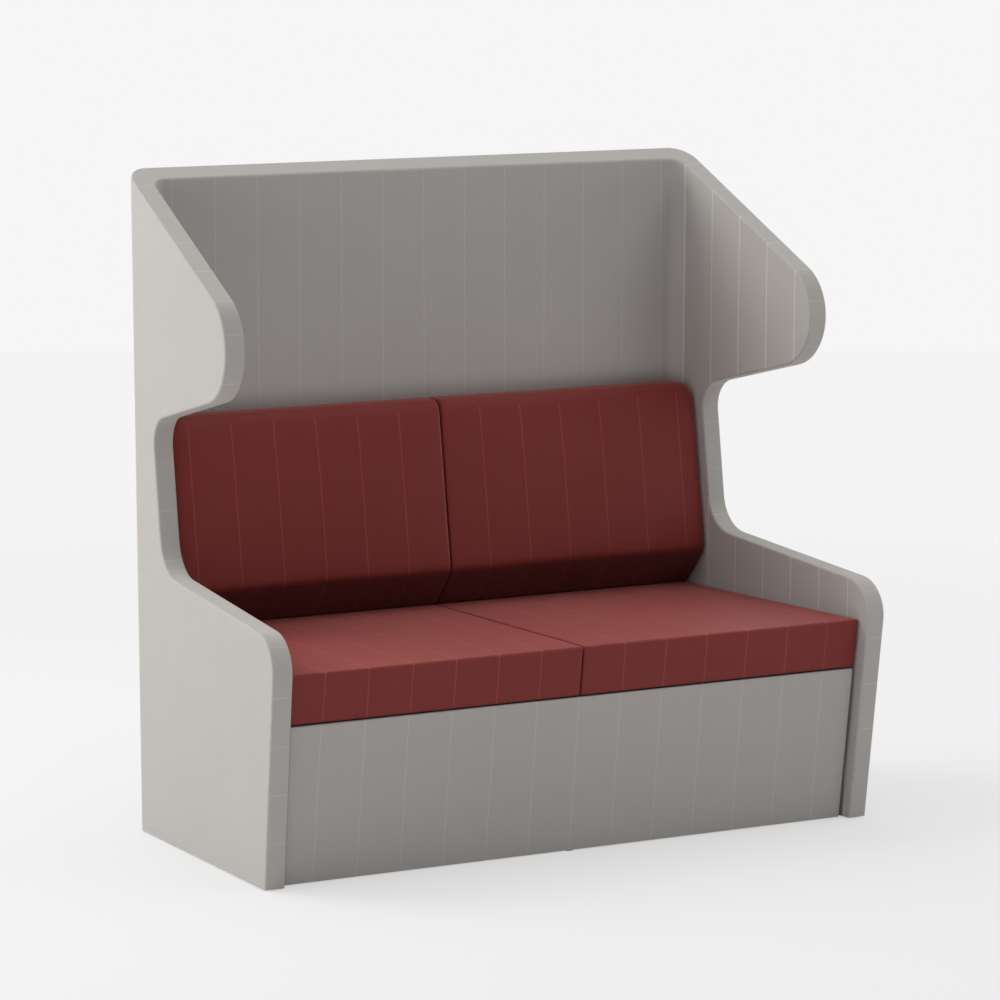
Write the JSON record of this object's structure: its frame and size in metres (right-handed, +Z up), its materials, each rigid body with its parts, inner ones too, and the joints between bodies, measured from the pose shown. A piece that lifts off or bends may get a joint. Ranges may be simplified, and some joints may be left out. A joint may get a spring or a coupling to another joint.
{
  "type": "high-back wing sofa",
  "caption": "High-back upholstered wing sofa on slab sides, with splayed notched wings, a slanted front plinth, loose seat cushions and hang-on wedge back cushions.",
  "frame": {"origin": "centre of the bounding box in plan, on the floor under the glides", "axes": "+Z up, -Y towards the front where people sit down, +X towards the right of someone facing the sofa"},
  "size_m": [1.5158, 0.766, 1.4496],
  "materials": {
    "grey_fabric": "matt woven wool cloth with a fine paler stripe",
    "red_fabric": "matt woven wool cloth with a fine paler stripe",
    "chipboard": "raw lightweight board",
    "beech": "planed, unvarnished",
    "plywood": "sanded, unvarnished",
    "steel": "zinc plated",
    "aluminium": "mill finish extrusion",
    "black_plastic": "moulded"
  },
  "bodies": {
    "frame": {"left_side_core": "chipboard", "right_side_core": "chipboard", "left_side_cover": "grey_fabric", "right_side_cover": "grey_fabric", "back_core": "chipboard", "back_cover": "grey_fabric", "left_corner_pad": "grey_fabric", "right_corner_pad": "grey_fabric", "front_panel_core": "chipboard", "front_panel_cover": "grey_fabric", "front_rail": "beech", "rear_rail": "beech", "left_rail": "beech", "right_rail": "beech", "centre_rail": "beech", "left_front_block": "beech", "right_front_block": "beech", "left_rear_block": "beech", "right_rear_block": "beech", "left_seat_deck": "plywood", "right_seat_deck": "plywood", "left_hang_rail": "aluminium", "right_hang_rail": "aluminium", "left_hang_rail_left_screw": "steel", "left_hang_rail_right_screw": "steel", "right_hang_rail_left_screw": "steel", "right_hang_rail_right_screw": "steel", "left_lower_corner_bolt": "steel", "left_upper_corner_bolt": "steel", "right_lower_corner_bolt": "steel", "right_upper_corner_bolt": "steel", "left_rail_front_screw": "steel", "left_rail_rear_screw": "steel", "right_rail_front_screw": "steel", "right_rail_rear_screw": "steel", "front_rail_left_screw": "steel", "front_rail_right_screw": "steel", "rear_rail_left_screw": "steel", "rear_rail_right_screw": "steel", "left_front_glide": "black_plastic", "right_front_glide": "black_plastic", "left_rear_glide": "black_plastic", "right_rear_glide": "black_plastic", "back_glide": "black_plastic", "front_panel_glide": "black_plastic"},
    "left_seat": {"left_seat_cushion": "red_fabric"},
    "right_seat": {"right_seat_cushion": "red_fabric"},
    "left_back": {"left_back_cushion": "red_fabric", "left_back_board": "plywood", "left_hook_strip": "aluminium", "left_hook_left_screw": "steel", "left_hook_right_screw": "steel"},
    "right_back": {"right_back_cushion": "red_fabric", "right_back_board": "plywood", "right_hook_strip": "aluminium", "right_hook_left_screw": "steel", "right_hook_right_screw": "steel"}
  },
  "joints": [
    {"name": "left_seat_slide", "type": "slide", "parent": "frame", "child": "left_seat", "axis": [0, -1, 0], "range_m": [0, 0.72]},
    {"name": "right_seat_slide", "type": "slide", "parent": "frame", "child": "right_seat", "axis": [0, -1, 0], "range_m": [0, 0.72]},
    {"name": "left_back_lift", "type": "slide", "parent": "frame", "child": "left_back", "axis": [0, 0, 1], "range_m": [0, 0.05]},
    {"name": "right_back_lift", "type": "slide", "parent": "frame", "child": "right_back", "axis": [0, 0, 1], "range_m": [0, 0.05]}
  ]
}
